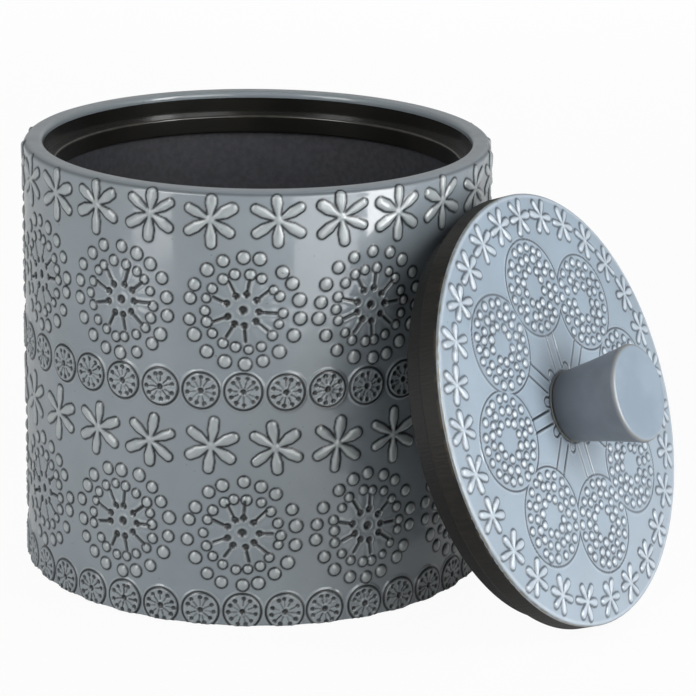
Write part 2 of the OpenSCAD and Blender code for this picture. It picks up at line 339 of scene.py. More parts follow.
def cup_lacquer():
    """The cup: glossy bronze-black in the recess, matt dark grey below the ledge ring."""
    paint = new_paint("cup_lacquer")
    height = paint.axes(paint.place())[2]
    ring_low = JAR_H - LEDGE_DEPTH - LEDGE_T
    above = paint.ramp(height, (ring_low - 0.2) * MM, ring_low * MM)
    grain = paint.ramp(paint.noise(700, 3), 0.3, 0.7)
    dull = paint.mix(grain, srgb(50, 51, 56), srgb(62, 63, 68))
    return paint.set(
        Base_Color=paint.mix(above, dull, black_lacquer(paint)), Roughness=0.62 - above * 0.36,
        Coat_Weight=above * 0.5, Coat_Roughness=0.12,
        Normal=paint.bump(paint.noise(500, 3), 0.00005, 0.7),
    )


def ring_lacquer():
    """The ledge ring: glossy bronze-black, rubbed paler along its upper edge."""
    paint = new_paint("ring_lacquer")
    rubbed_tone = srgb(78, 75, 66)
    x, y, z = paint.axes(paint.place())
    radius = (x * x + y * y) ** 0.5
    throat_r = (MOUTH_R - LEDGE_W) * MM
    ledge_z = (JAR_H - LEDGE_DEPTH) * MM
    off_edge = ((radius - throat_r) ** 2 + (z - ledge_z) ** 2) ** 0.5
    rubbed = 1 - paint.ramp(off_edge, 0.3 * MM, 0.8 * MM)
    ragged = paint.ramp(paint.noise(300, 3), 0.3, 0.65)
    colour = paint.mix(rubbed * (ragged * 0.3 + 0.1), black_lacquer(paint), rubbed_tone)
    return paint.set(
        Base_Color=colour, Roughness=0.28, Coat_Weight=0.5, Coat_Roughness=0.12,
        Normal=paint.bump(paint.noise(500, 3), 0.00004, 0.7),
    )


def lid_place(paint):
    """A point's place seen from the middle of the lid's face, and its height above the face."""
    offset = paint.vector("SUBTRACT", {0: paint.place(), 1: tuple(LID_AT * MM)})
    return offset, paint.vector("DOT_PRODUCT", {0: offset, 1: tuple(LID_OUT)}, "Value")


def lid_bronze(name, dark, light, streaks):
    """Dark bronze lacquer with fine streaks across the edge, as a brush leaves them.

    The streaks are noise that is drawn out along the lid's axis, by taking most of the height off the
    place that it is read at. A worn line runs round the edge's front corner.
    """
    paint = new_paint(name)
    squeeze = 0.85
    offset, height = lid_place(paint)
    along_axis = paint.vector("SCALE", {0: tuple(LID_OUT), "Scale": height * squeeze})
    flat = paint.vector("SUBTRACT", {0: offset, 1: along_axis})
    brush = paint.ramp(paint.noise(1500, 3, flat, 0.65), 0.36, 0.66)
    wash = paint.ramp(paint.noise(45, 2), 0.35, 0.65)
    colour = paint.mix(brush * (wash * 0.7 + 0.15) * streaks, dark, light)
    worn = paint.ramp(height, -1.6 * MM, -0.8 * MM) * paint.ramp(paint.noise(260, 3), 0.42, 0.62)
    colour = paint.mix(worn * 0.45 * streaks, colour, srgb(92, 80, 60))
    return paint.set(
        Base_Color=colour, Roughness=0.5, Specular_IOR_Level=0.3,
        Normal=paint.bump(brush, 0.00005, 0.5),
    )


def pad_rubber():
    """Dark grey, dull and grainy."""
    paint = new_paint("pad_rubber")
    grain = paint.ramp(paint.noise(1500, 3), 0.3, 0.7)
    colour = paint.mix(grain, srgb(36, 36, 38), srgb(52, 52, 54))
    return paint.set(Base_Color=colour, Roughness=0.85, Normal=paint.bump(grain, 0.0001, 0.7))


def bright_steel():
    """Bright metal with a fine grain in its colour and gloss."""
    paint = new_paint("bright_steel")
    grain = paint.ramp(paint.noise(900, 3), 0.35, 0.65)
    colour = paint.mix(grain, srgb(168, 168, 170), srgb(196, 196, 198))
    return paint.set(
        Base_Color=colour, Metallic=1.0, Roughness=grain * 0.12 + 0.26,
        Normal=paint.bump(grain, 0.00003, 0.5),
    )


# Meshes


def grid_quads(index):
    """The four-sided faces between neighbours in a grid of point numbers."""
    return np.stack([index[:-1, :-1], index[1:, :-1], index[1:, 1:], index[:-1, 1:]], -1).reshape(-1, 4)


def skin_mesh(name, points, closed_along, closed_across, parts, sharp=()):
    """A surface from a grid of points (along, across, xyz) in metres, with numbers kept on its points.

    It is joined to itself along either way where that is closed. Where it is closed across only, each
    end's loop of points becomes one flat face. Shading breaks along the sharp columns.
    """
    along, across = points.shape[:2]
    index = np.arange(along * across).reshape(along, across)
    if closed_along:
        index = np.vstack([index, index[:1]])
    if closed_across:
        index = np.hstack([index, index[:, :1]])
    ends = []
    if closed_across and not closed_along:
        ends = [index[0, :-1], index[-1, -2::-1]]
    flat_parts = {part: values.ravel() for part, values in parts.items()}
    made = fill_mesh(name, points.reshape(-1, 3), grid_quads(index), ends, flat_parts)
    column = np.arange(along * across) % across
    break_shading(made, np.isin(column, [place % across for place in sharp]))
    return made


def break_shading(made, chosen):
    """Lets the shading break along the edges that join two of the chosen points."""
    edges = np.empty(len(made.data.edges) * 2, np.int32)
    made.data.edges.foreach_get("vertices", edges)
    broken = chosen[edges].reshape(-1, 2).all(1)
    made.data.attributes.new("sharp_edge", "BOOLEAN", "EDGE").data.foreach_set("value", broken)


def fill_mesh(name, points, quads, ends, parts):
    """A smooth-shaded object from points, four-sided faces and a few many-sided ones."""
    mesh = bpy.data.meshes.new(name)
    corners = np.concatenate([quads.ravel(), *ends]).astype(np.int32)
    sizes = np.concatenate([np.full(len(quads), 4), [len(e) for e in ends]]).astype(np.int32)
    mesh.vertices.add(len(points))
    mesh.vertices.foreach_set("co", points.astype(np.float32).ravel())
    mesh.loops.add(len(corners))
    mesh.loops.foreach_set("vertex_index", corners)
    mesh.polygons.add(len(sizes))
    mesh.polygons.foreach_set("loop_start", (np.cumsum(sizes) - sizes).astype(np.int32))
    mesh.polygons.foreach_set("use_smooth", sizes == 4)
    for part, values in parts.items():
        mesh.attributes.new(part, "FLOAT", "POINT").data.foreach_set("value", values.astype(np.float32))
    mesh.update(calc_edges=True)
    mesh.validate()
    made = bpy.data.objects.new(name, mesh)
    bpy.context.scene.collection.objects.link(made)
    return made


# The pattern: distances to outlines, negative inside them


def dot(x, y, turn, reach):
    """Distance to the point that lies at a reach along a ray."""
    return np.hypot(x - reach * np.cos(turn), y - reach * np.sin(turn))


def petal(x, y, turn, stations):
    """Distance to a petal: circles set along a ray, each joined to the next by their tangents."""
    along = x * np.cos(turn) + y * np.sin(turn)
    aside = np.abs(y * np.cos(turn) - x * np.sin(turn))
    nearest = np.inf
    for (inner, inner_r), (outer, outer_r) in zip(stations, stations[1:]):
        length = outer - inner
        lean = (inner_r - outer_r) / length
        straight = np.sqrt(1 - lean * lean)
        where = (along - inner) * straight - aside * lean
        near = np.hypot(aside, along - inner) - inner_r
        far = np.hypot(aside, along - outer) - outer_r
        side = aside * straight + (along - inner) * lean - inner_r
        beyond = np.where(where > straight * length, far, side)
        nearest = np.minimum(nearest, np.where(where < 0, near, beyond))
    return nearest


def groove(x, y, turn, inner, outer):
    """Distance to a straight stroke along a ray."""
    along = x * np.cos(turn) + y * np.sin(turn)
    aside = y * np.cos(turn) - x * np.sin(turn)
    return np.hypot(aside, along - np.clip(along, inner, outer))


def merge(first, second, soft):
    """The smaller of two distances, with the corner between them filled softly."""
    overlap = np.clip(soft - np.abs(first - second), 0, None) / soft
    return np.minimum(first, second) - overlap * overlap * soft / 4


def rise(value, low, high):
    """0 below low, 1 above high, and a smooth rise between."""
    t = np.clip((value - low) / (high - low), 0, 1)
    return t * t * (3 - 2 * t)


def bell(value, width):
    """A bell: 1 at zero, falling off over the width."""
    return np.exp(-(value / width) ** 2)


def deepen(kept, more):
    """Raises the numbers of an array, in place, to those of another where they are lower."""
    np.maximum(kept, more, out=kept)


class Relief:
    """Height of a surface, how raised each point is, and how dark it is in a crevice with pooled glaze
    and painted shade.
    """

    def __init__(self, height, raised, crevice):
        self.height, self.raised, self.crevice = height, raised, crevice

    @classmethod
    def level(cls, shape):
        """A surface with nothing on it yet."""
        return cls(np.zeros(shape), np.zeros(shape), np.zeros(shape))

    def columns(self, chosen):
        """The same surface, seen only in some of its columns."""
        return Relief(self.height[:, chosen], self.raised[:, chosen], self.crevice[:, chosen])

    def pillow(self, distance, height, depth, line=1.0):
        """Raises what lies inside an outline: steep at first, and level from a depth inside it.

        A low fillet runs round it outside, and a dark line lies along the outline, partly glaze pooled
        there and partly painted shade.
        """
        fillet_w, line_at, line_w = 0.55, 0.12, 0.22
        inside = np.clip(-distance / depth, 0, 1)
        dome = (1 - (1 - inside) ** 2) ** 0.78
        fillet = np.clip(1 - np.clip(distance, 0, None) / fillet_w, 0, 1) ** 2
        deepen(self.height, height * (dome * 0.86 + fillet * 0.14))
        deepen(self.raised, rise(-distance, 0.0, 0.35))
        deepen(self.crevice, line * np.minimum(1.5 * bell(distance - line_at, line_w), 1))

    def cut(self, distance, half, depth, dark=1.0):
        """Cuts a rounded groove, half its width to either side, dark inside and with pale low lips."""
        away = np.maximum(distance, 0)
        self.height -= depth * (1 - rise(away, 0, half * 1.5))
        self.height += 0.4 * depth * bell(away - half * 1.7, half * 0.7)
        deepen(self.crevice, dark * (1 - rise(away, half * 0.55, half * 1.5)))
        deepen(self.raised, 0.5 * dark * bell(away - half * 1.8, half * 0.6))

    def pit(self, distance, radius, depth, dark=1.0):
        """Cuts a round pit at a distance of 0, with a paler spot at its bottom that is a painted
        highlight.
        """
        self.cut(distance - radius * 0.6, radius * 0.4, depth, dark)
        # Painted highlight: the pit's darkness is lightened at its centre.
        self.crevice -= 0.15 * dark * bell(distance, radius * 0.3)


class Draws:
    """Random numbers for the motifs of a row, each laid out over the points nearest to its motif."""

    def __init__(self, seed, number, count):
        self.draw = np.random.default_rng(seed)
        self.number = number
        self.count = count

    def near(self, middle, spread):
        """Numbers that lie round a middle one, and never further from it than twice the spread."""
        off = np.clip(self.draw.normal(0, spread, self.count), -2 * spread, 2 * spread)
        return (middle + off)[self.number][:, None]

    def between(self, low, high):
        """Numbers from low to high."""
        return self.draw.uniform(low, high, self.count)[self.number][:, None]


def motif(s, count, turn, drift=0.0):
    """For places along a row, the number of the nearest motif and the distance along from its centre.

    With a drift, the motifs at the sides stand a little further round than an even spacing gives.
    """
    pitch = 2 * math.pi * JAR_R / count
    start = math.radians(turn) * JAR_R
    number = np.round((s - drift * np.sin(s / JAR_R) - start) / pitch).astype(int)
    centre = start + number * pitch
    return number % count, (s - centre - drift * np.sin(centre / JAR_R))[:, None]


def flower_row(relief, s, u, centre, seed, top=0.0):
    """A row of six-petalled flowers, each petal with its own length, width and lean.

    The upward petal is shorter by top.
    """
    heart_r, petal_reach, petal_half = 1.1, 6.85, 1.15
    number, x = motif(s, FLOWERS, FLOWER_TURN)
    draws = Draws(seed, number, FLOWERS)
    x, y = x - draws.near(0, 0.28), (u - centre)[None, :] - draws.near(0, 0.12)
    lean = draws.near(0, 3.0)
    distance = np.hypot(x, y) - heart_r
    for k in range(PETALS):
        turn = np.radians(30 + 60 * k + lean + draws.near(0, 3.2))
        reach = draws.near(petal_reach, 0.2) - (top if k == 1 else 0)
        half = draws.near(petal_half, 0.08)
        stations = [(1.0, 0.48), (3.9, half * 1.06), (reach - half, half)]
        distance = merge(distance, petal(x, y, turn, stations), 0.4)
    relief.pillow(distance, RELIEF_H, 1.15)


def rosette_row(relief, s, u, centre, seed):
    """A row of rosettes: two staggered rings of beads, and nine strokes from pits to the inner beads."""
    outer_at, outer_r = 12.85, 1.4
    inner_at, inner_r = 8.9, 1.07
    pit_at, stroke_to = 3.75, 7.5
    groove_half, groove_depth = 0.37, 0.36
    number, x = motif(s, ROSETTES, ROSETTE_TURN, 1.4)
    draws = Draws(seed, number, ROSETTES)
    y = np.broadcast_to((u - centre)[None, :], (len(s), len(u)))
    step = 2 * math.pi / ROSETTE_BEADS
    star_x, star_y = x - draws.near(0.3, 0.2), y - draws.near(0.05, 0.2)
    radius = np.hypot(star_x, star_y)
    relief.height += 0.14 * rise(-radius, -8.2, -6.0)
    strokes = []
    for k in range(ROSETTE_BEADS):
        turn = (k + 0.5) * step + draws.near(0, 0.032)
        outer = dot(x, y, turn, draws.near(outer_at, 0.2)) - draws.near(outer_r, 0.07)
        relief.pillow(outer, RELIEF_H, 1.35)
        turn = k * step + draws.near(0, 0.035)
        inner = dot(x, y, turn, draws.near(inner_at, 0.2)) - draws.near(inner_r, 0.06)
        relief.pillow(inner, RELIEF_H * 0.9, 1.05)
        if k % 2 == 0:
            strokes.append(turn)
    for turn in strokes:
        bend = turn + draws.near(0, 0.05)
        start = draws.near(pit_at, 0.16)
        ridge = groove(star_x, star_y, bend + step, 5.2, 7.2)
        relief.height += 0.12 * bell(ridge, 0.9)
        stroke = groove(star_x, star_y, bend, start + 0.7, draws.near(stroke_to, 0.2))
        relief.cut(stroke, groove_half, groove_depth, draws.near(0.97, 0.03))
        relief.pit(dot(star_x, star_y, bend, start), 0.86, groove_depth)
    relief.pit(radius, 1.05, groove_depth)


def medallion_row(relief, s, u, centre, seed):
    """A row of coins: a dark ring inside the edge, and strokes that end in small dark dots."""
    coin_r, face_r, ring_at, dots_at, strokes_to = 5.0, 4.1, 4.42, 3.2, 2.6
    number, x = motif(s, MEDALLIONS, MEDALLION_TURN)
    draws = Draws(seed, number, MEDALLIONS)
    x, y = x - draws.near(0, 0.1), (u - centre)[None, :] - draws.near(0, 0.08)
    start = draws.between(0, 2 * math.pi)
    radius = np.hypot(x, y)
    deepen(relief.height, 0.42 * rise(coin_r - radius, 0, 0.45))
    deepen(relief.raised, 0.35 * rise(face_r - radius, 0, 0.3))
    relief.cut(np.abs(radius - draws.near(ring_at, 0.06)), 0.29, 0.34)
    for k in range(COIN_STROKES):
        dark = draws.between(0.45, 1.0)
        turn = start + k * 2 * math.pi / COIN_STROKES + draws.near(0, 0.06)
        inner = draws.between(0.9, 1.6)
        relief.cut(groove(x, y, turn, inner, strokes_to), 0.18, 0.12, dark)
        hole = dot(x, y, turn, draws.near(dots_at, 0.1))
        relief.pit(hole, draws.near(0.56, 0.03), 0.22, draws.near(0.95, 0.04))
    relief.pit(radius, 0.75, 0.35)


def wander(turn, u, size, seed):
    """Slow unevenness of a thrown wall: a few waves round it and up it, which meet after one turn."""
    draw = np.random.default_rng(seed)
    count = 9
    total = 0
    for _ in range(count):
        waves = draw.integers(2, 26)
        climb = draw.uniform(-1, 1) * 0.22
        phase = waves * turn[:, None] + climb * u[None, :] + draw.uniform(0, 6.3)
        total = total + np.sin(phase) / count ** 0.5
    return size * total


# The wall


def wall_section(u):
    """Where the plain wall's surface is for a distance u along it: radius, height, and outward normal.

    u is the height above the table up to the rim's round edge, and then goes on round the edge, over
    the flat rim, round the lip and down into the mouth.
    """
    edge = np.clip((u - EDGE_FROM) / RIM_ROUND, 0, QUARTER)
    lip = np.clip((u - LIP_FROM) / LIP_ROUND, 0, QUARTER)
    flat = np.clip(u, EDGE_TO, LIP_FROM) - EDGE_TO
    radius = JAR_R - RIM_ROUND * (1 - np.cos(edge)) - flat - LIP_ROUND * np.sin(lip)
    height = np.minimum(u, EDGE_FROM) + RIM_ROUND * np.sin(edge) - LIP_ROUND * (1 - np.cos(lip))
    height = height - np.clip(u - LIP_TO, 0, None)
    turn = edge + lip
    return radius, height, np.cos(turn), np.sin(turn)


def wall_steps(low, high):
    """Places along the wall's section from low to high, further apart past the rim's round edge."""
    top = min(high, EDGE_TO)
    even = np.linspace(low, top, max(2, int(round((top - low) / STEP)) + 1))
    if high <= EDGE_TO:
        return even
    return np.append(even, EDGE_TO + (high - EDGE_TO) * np.linspace(0, 1, 17)[1:])


def wall_rows():
    """The six rows of the pattern: how each is drawn, its centre's height, its reach and its seed."""
    rows = []
    for low, seed in ((ROW_REPEAT, 21), (0, 25)):
        rows += [
            (medallion_row, JAR_H - MEDALLION_DROP - low, 5.7, seed, {}),
            (rosette_row, JAR_H - ROSETTE_DROP - low, 15.2, seed + 1, {}),
            (flower_row, JAR_H - FLOWER_DROP - low, 8.2, seed + 2, {"top": 0 if low else 0.85}),
        ]
    return rows


def wall_relief(turn, u):
    """The relief of the wall at some turns round the jar and distances u along the wall's section.

    The rows end below the rim's flat top, and the wall's unevenness with them. A shallow crease runs
    round the rim's edge between the flowers, darkened with painted shade, and a painted highlight, a
    pale line, runs along the lip.
    """
    relief = Relief.level((len(turn), len(u)))
    for draw_row, centre, reach, seed, more in wall_rows():
        near = np.flatnonzero(np.abs(u - centre) < reach)
        if len(near):
            chosen = slice(near[0], near[-1] + 1)
            draw_row(relief.columns(chosen), turn * JAR_R, u[chosen], centre, seed, **more)
    # Painted shade: the crease round the rim's edge is darkened in colour as well as dipped.
    crease = bell(u - (EDGE_FROM + 1.0), 0.42) * (1 - relief.raised)
    relief.height *= rise(JAR_H + 0.2 - u, 0, 0.8)
    relief.height += wander(turn, u, 0.035, 11) * rise(EDGE_TO - u, 0, 1.5) - 0.12 * crease
    deepen(relief.crevice, 0.55 * crease)
    # Painted highlight: a pale line along the lip.
    deepen(relief.raised, 0.25 * bell(u - (LIP_FROM + 0.7), 0.6))
    return relief


def wall_band(name, low, high, start, stop, back):
    """One band of the sleeve from u = low to high, between two steps round it, with the wall's inside.

    Each outer point is the plain section's, moved along its normal by the height of the relief there,
    and turned round the jar's axis. The foot's last 0.35 mm draws in, with the square of how low a
    point is. back are the (radius, height) corners of the inner side, from the top down.
    """
    whole = stop - start == AROUND
    turn = 2 * math.pi * (start + np.arange(stop - start + (0 if whole else 1))) / AROUND
    u = wall_steps(low, high)
    relief = wall_relief(turn, u)
    radius, height, out, up = wall_section(u)
    foot_h = 0.35
    ease = foot_h * np.clip(1 - (u - WALL_LOW) / foot_h, 0, 1) ** 2
    r = radius + relief.height * out - ease
    z = height + relief.height * up
    inner = (len(turn), len(back))
    r = np.hstack([r, np.broadcast_to([corner[0] for corner in back], inner)])
    z = np.hstack([z, np.broadcast_to([corner[1] for corner in back], inner)])
    points = np.stack([r * np.sin(turn)[:, None], -r * np.cos(turn)[:, None], z], -1) * MM
    parts = {
        "raised": np.hstack([relief.raised, np.zeros(inner)]),
        "crevice": np.hstack([relief.crevice, np.zeros(inner)]),
    }
    made = skin_mesh(name, points, whole, True, parts, sharp=(0, len(u) - 1, len(u), -1))
    made.data.materials.append(WALL_GLAZE)
    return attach(made, "jar")


def make_wall():
    """The sleeve in bands, one for each row of the pattern; the rosettes' are in two halves.

    The halves meet between two rosettes.
    """
    inner_r = JAR_R - SHEET_T
    under = JAR_H - SHEET_T
    bands = [
        ("wall_base_medallions", 1), ("wall_lower_rosettes", 2), ("wall_lower_flowers", 1),
        ("wall_middle_medallions", 1), ("wall_upper_rosettes", 2), ("wall_upper_flowers", 1),
        ("wall_rim", 1),
    ]
    rim_back = [
        (MOUTH_R + SHEET_T, JAR_H - LIP_DEPTH), (MOUTH_R + SHEET_T, under - 0.4),
        (MOUTH_R + LIP_ROUND, under), (JAR_R - RIM_ROUND, under),
        (inner_r, EDGE_FROM), (inner_r, BAND_CUTS[-1]),
    ]
    first = int(round((ROSETTE_TURN - 2.5 * 360 / ROSETTES) / 360 * AROUND))
    for (name, halves), low, high in zip(bands, [WALL_LOW, *BAND_CUTS], [*BAND_CUTS, WALL_END]):
        back = rim_back if name == "wall_rim" else [(inner_r, high), (inner_r, low)]
        for half in range(halves):
            start = first + half * AROUND // halves
            title = name if halves == 1 else f"{name}_{half + 1}"
            wall_band(title, low, high, start, start + AROUND // halves, back)
    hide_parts("outer_sleeve", "wall_medallions")
    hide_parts("lower_rosettes")
    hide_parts("wall_flowers")
    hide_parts("upper_rosettes")


# The lid


def lid_field(x, y):
    """The relief of the lid's face at points in millimetres from its axis, y up the face."""
    relief = Relief.level(x.shape)
    radius, turn = np.hypot(x, y), np.arctan2(y, x)
    lid_flowers(relief, radius, turn)
    lid_medallions(relief, radius, turn)
    relief.height += crown(radius)
    relief.height += lid_wander(x, y, 0.03, 35) * rise(LID_R - radius, 0.5, 3)
    return relief


def crown(radius):
    """Height of the lid's face over its edge: level in the middle, and curved down towards the edge."""
    return CROWN_H * (1 - np.clip(radius / LID_R, 0, 1) ** CROWN_CURVE)


def lid_wander(x, y, size, seed):
    """Slow unevenness of the lid's face: a few waves that cross it in different directions."""
    draw = np.random.default_rng(seed)
    count = 8
    total = 0
    for _ in range(count):
        waves = draw.uniform(0.05, 0.32)
        course = draw.uniform(0, 6.3)
        along = x * np.cos(course) + y * np.sin(course)
        total = total + np.sin(waves * along + draw.uniform(0, 6.3)) / count ** 0.5
    return size * total


def lid_motif(radius, turn, count, start, at, bunch=0.0):
    """For points of the face, the nearest motif of a ring, and x outwards and y round from its centre.

    bunch, in degrees, moves the motifs towards the top of the ring, as on the real lid.
    """
    step = 2 * math.pi / count
    even = turn - math.radians(start) - math.radians(bunch) * np.cos(turn)
    number = np.round(even / step).astype(int)
    centre = math.radians(start) + number * step
    centre = centre + math.radians(bunch) * np.cos(centre)
    off = turn - centre
    return number % count, radius * np.cos(off) - at, radius * np.sin(off)


def lid_flowers(relief, radius, turn):
    """The ring of six-petalled flowers round the lid's edge."""
    heart_r, petal_reach, petal_half = 0.75, 4.7, 0.92
    draw = np.random.default_rng(31)
    number, x, y = lid_motif(radius, turn, LID_FLOWERS, LID_FLOWER_TURN, LID_FLOWER_AT, 3.2)

    def each(middle, spread):
        return draw.normal(middle, spread, LID_FLOWERS)[number]

    lean = each(0, 4)
    distance = np.hypot(x, y) - heart_r
    for k in range(PETALS):
        toward = np.radians(30 + 60 * k + lean + each(0, 3.5))
        reach = each(petal_reach, 0.16)
        half = each(petal_half, 0.06)
        stations = [(0.7, 0.42), (2.9, half), (reach - half, half * 0.95)]
        distance = merge(distance, petal(x, y, toward, stations), 0.35)
    relief.pillow(distance, LID_RELIEF_H, 0.8, 0.8)


def lid_medallions(relief, radius, turn):
    """The lid's medallions: rings of beads in a thin groove, and two strokes from the knob to each.

    Between two medallions a scallop, an arc with two straight legs, opens towards the knob.
    """
    stroke_from = 9.2
    stroke_to = LID_MEDALLION_AT - LID_MEDALLION_R + 0.2
    stroke_aside = 1.6
    scallop_at, scallop_r, leg = 9.7, 1.15, 2
    draw = np.random.default_rng(32)
    number, x, y = lid_motif(radius, turn, LID_MEDALLIONS, LID_MEDALLION_TURN, LID_MEDALLION_AT)

    def each(middle, spread):
        return draw.normal(middle, spread, LID_MEDALLIONS)[number]

    x, y = x - each(0, 0.25), y - each(0, 0.2)
    relief.cut(np.abs(np.hypot(x, y) - LID_MEDALLION_R), 0.24, 0.32, 0.85)
    for share, count in LID_MEDALLION_BEADS:
        start = draw.uniform(0, 6.3, LID_MEDALLIONS)[number]
        for k in range(count):
            toward = start + (k + each(0, 0.09)) * 2 * math.pi / count
            reach = share * LID_MEDALLION_R + each(0, 0.16)
            relief.pillow(dot(x, y, toward, reach) - each(0.96, 0.05), LID_RELIEF_H, 0.85, 0.85)
    out = x + LID_MEDALLION_AT
    for side in (-1, 1):
        stroke = np.hypot(y - side * stroke_aside, out - np.clip(out, stroke_from, stroke_to))
        relief.cut(stroke, 0.28, 0.42)
    between = LID_MEDALLION_TURN + 180 / LID_MEDALLIONS
    _, x, y = lid_motif(radius, turn, LID_MEDALLIONS, between, scallop_at)
    legs = np.hypot(np.abs(y) - scallop_r, np.clip(-x - leg, 0, None))
    loop = np.where(x > 0, np.abs(np.hypot(x, y) - scallop_r), legs)
    relief.cut(loop, 0.25, 0.34, 0.95)
    deepen(relief.crevice, 0.85 * bell(radius - (KNOB_RING_R + 0.2), 0.4))


def on_lid(x, y, z):
    """Points of the level lid, in millimetres, put on the leaning one, in metres."""
    return (LID_AT + x[..., None] * LID_ACROSS + y[..., None] * LID_UP + z[..., None] * LID_OUT) * MM


def disc_map(steps, radius):
    """A square grid pressed onto a disc: each square ring of it becomes a circle, evenly spaced."""
    line = np.linspace(-1, 1, steps + 1)
    a, b = np.meshgrid(line, line, indexing="ij")
    wide = np.abs(a) > np.abs(b)
    first = np.where(wide, a, b)
    share = np.where(wide, b, a) / np.where(first == 0, 1, first)
    turn = np.where(wide, math.pi / 4 * share, QUARTER - math.pi / 4 * share)
    return radius * first * np.cos(turn), radius * first * np.sin(turn)


def lid_face_middle():
    """The face inside FACE_MEET: a pressed grid at the height of the lid's relief, with a flat back."""
    x, y = disc_map(FACE_STEPS, FACE_MEET)
    relief = lid_field(x, y)
    index = np.arange(x.size).reshape(x.shape)
    loop = np.concatenate([index[:-1, 0], index[-1, :-1], index[:0:-1, -1], index[0, :0:-1]])
    low = index.size + np.arange(len(loop))
    skirt = np.stack([low, np.roll(low, -1), np.roll(loop, -1), loop], -1)
    under = on_lid(x.ravel()[loop], y.ravel()[loop], np.full(len(loop), -FACE_T))
    points = np.vstack([on_lid(x, y, relief.height).reshape(-1, 3), under])
    parts = {"raised": relief.raised, "crevice": relief.crevice}
    parts = {part: np.append(values.ravel(), np.zeros(len(loop))) for part, values in parts.items()}
    quads = np.vstack([grid_quads(index), skirt])
    made = fill_mesh("lid_face_middle", points, quads, [low[::-1]], parts)
    break_shading(made, np.isin(np.arange(len(points)), np.append(loop, low)))
    return made


def lid_face_border():
    """The face outside FACE_MEET: rings at the height of the lid's relief, to a rounded edge.

    The relief fades out over the last half millimetre, and the edge bends down by a quarter circle.
    """
    around = 4 * FACE_STEPS
    turn = math.radians(-135) + 2 * math.pi * np.arange(around) / around
    flat_r = LID_R - LID_EDGE_R
    bend = np.radians([20, 45, 70, 90])
    rings = 42
    reach = np.append(np.linspace(FACE_MEET, flat_r, rings), flat_r + LID_EDGE_R * np.sin(bend))
    drop = np.append(np.zeros(rings), LID_EDGE_R * (1 - np.cos(bend)))
    relief = lid_field(reach[None, :] * np.cos(turn)[:, None], reach[None, :] * np.sin(turn)[:, None])
    height = relief.height * rise(LID_R - reach, 0.0, 0.5) - drop
    z = np.hstack([height, np.full((around, 2), -FACE_T)])
    r = np.append(reach, [LID_R, FACE_MEET])
    x, y = r[None, :] * np.cos(turn)[:, None], r[None, :] * np.sin(turn)[:, None]
    # The pale line just inside the edge, put into raised, is a painted highlight of the rounded edge.
    parts = {
        "raised": np.maximum(relief.raised, 0.8 * bell(reach - (LID_R - 0.75), 0.3)),
        "crevice": relief.crevice,
        "bare": np.broadcast_to(rise(reach, LID_R - 0.4, LID_R - 0.12), relief.raised.shape),
    }
    parts = {part: np.hstack([values, np.zeros((around, 2))])[::-1] for part, values in parts.items()}
    points = on_lid(x, y, z)[::-1]
    return skin_mesh("lid_face_border", points, True, True, parts, sharp=(0, len(reach) + 1))


def make_lid_face():
    """The embossed face in two pieces: a middle with the medallions, a border with the flowers."""
    middle = lid_face_middle()
    border = lid_face_border()
    for piece in (middle, border):
        piece.data.materials.append(LID_GLAZE)
        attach(piece, "lid")
    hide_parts("lid_face", "lid_beads", "lid_lines")
    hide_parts("lid_flowers")


def knob_profile():
    """The knob's outline from its foot to its end, as radii and heights.

    A plain ring with a rounded top stands on the face. From it a foot swells outwards by a quarter
    circle, and the side flares: by 0.85 of the flare in step with its height, and by the rest with the
    cube of the height. A quarter circle rounds the edge of the flat end.
    """
    foot_round, end_round = 0.9, 1.1
    foot_r = KNOB_FOOT_R - foot_round
    side_low = KNOB_RING_TOP + foot_round
    side_h = KNOB_H - end_round - side_low
    flare = KNOB_END_R - KNOB_FOOT_R
    bend = np.linspace(0, QUARTER, 9)
    profile = [(0.001, 0.0), (KNOB_RING_R, 0.0), (KNOB_RING_R, KNOB_RING_LOW)]
    for a in bend:
        ring_r = KNOB_RING_R - KNOB_RING_H * (1 - math.cos(a))
        profile.append((ring_r, KNOB_RING_LOW + KNOB_RING_H * math.sin(a)))
    profile.append((foot_r + 0.05, KNOB_RING_TOP))
    profile += [(foot_r + foot_round * math.sin(a), side_low - foot_round * math.cos(a)) for a in bend]
    for t in np.linspace(0, 1, 42)[1:]:
        profile.append((KNOB_FOOT_R + flare * (0.85 * t + 0.15 * t ** 3), side_low + side_h * t))
    for a in bend[1:]:
        end_r = KNOB_END_R - end_round * (1 - math.cos(a))
        profile.append((end_r, KNOB_H - end_round * (1 - math.sin(a))))
    profile += [((KNOB_END_R - end_round) * (1 - t), KNOB_H) for t in np.linspace(0, 0.9999, 24)[1:]]
    return np.array(profile).T


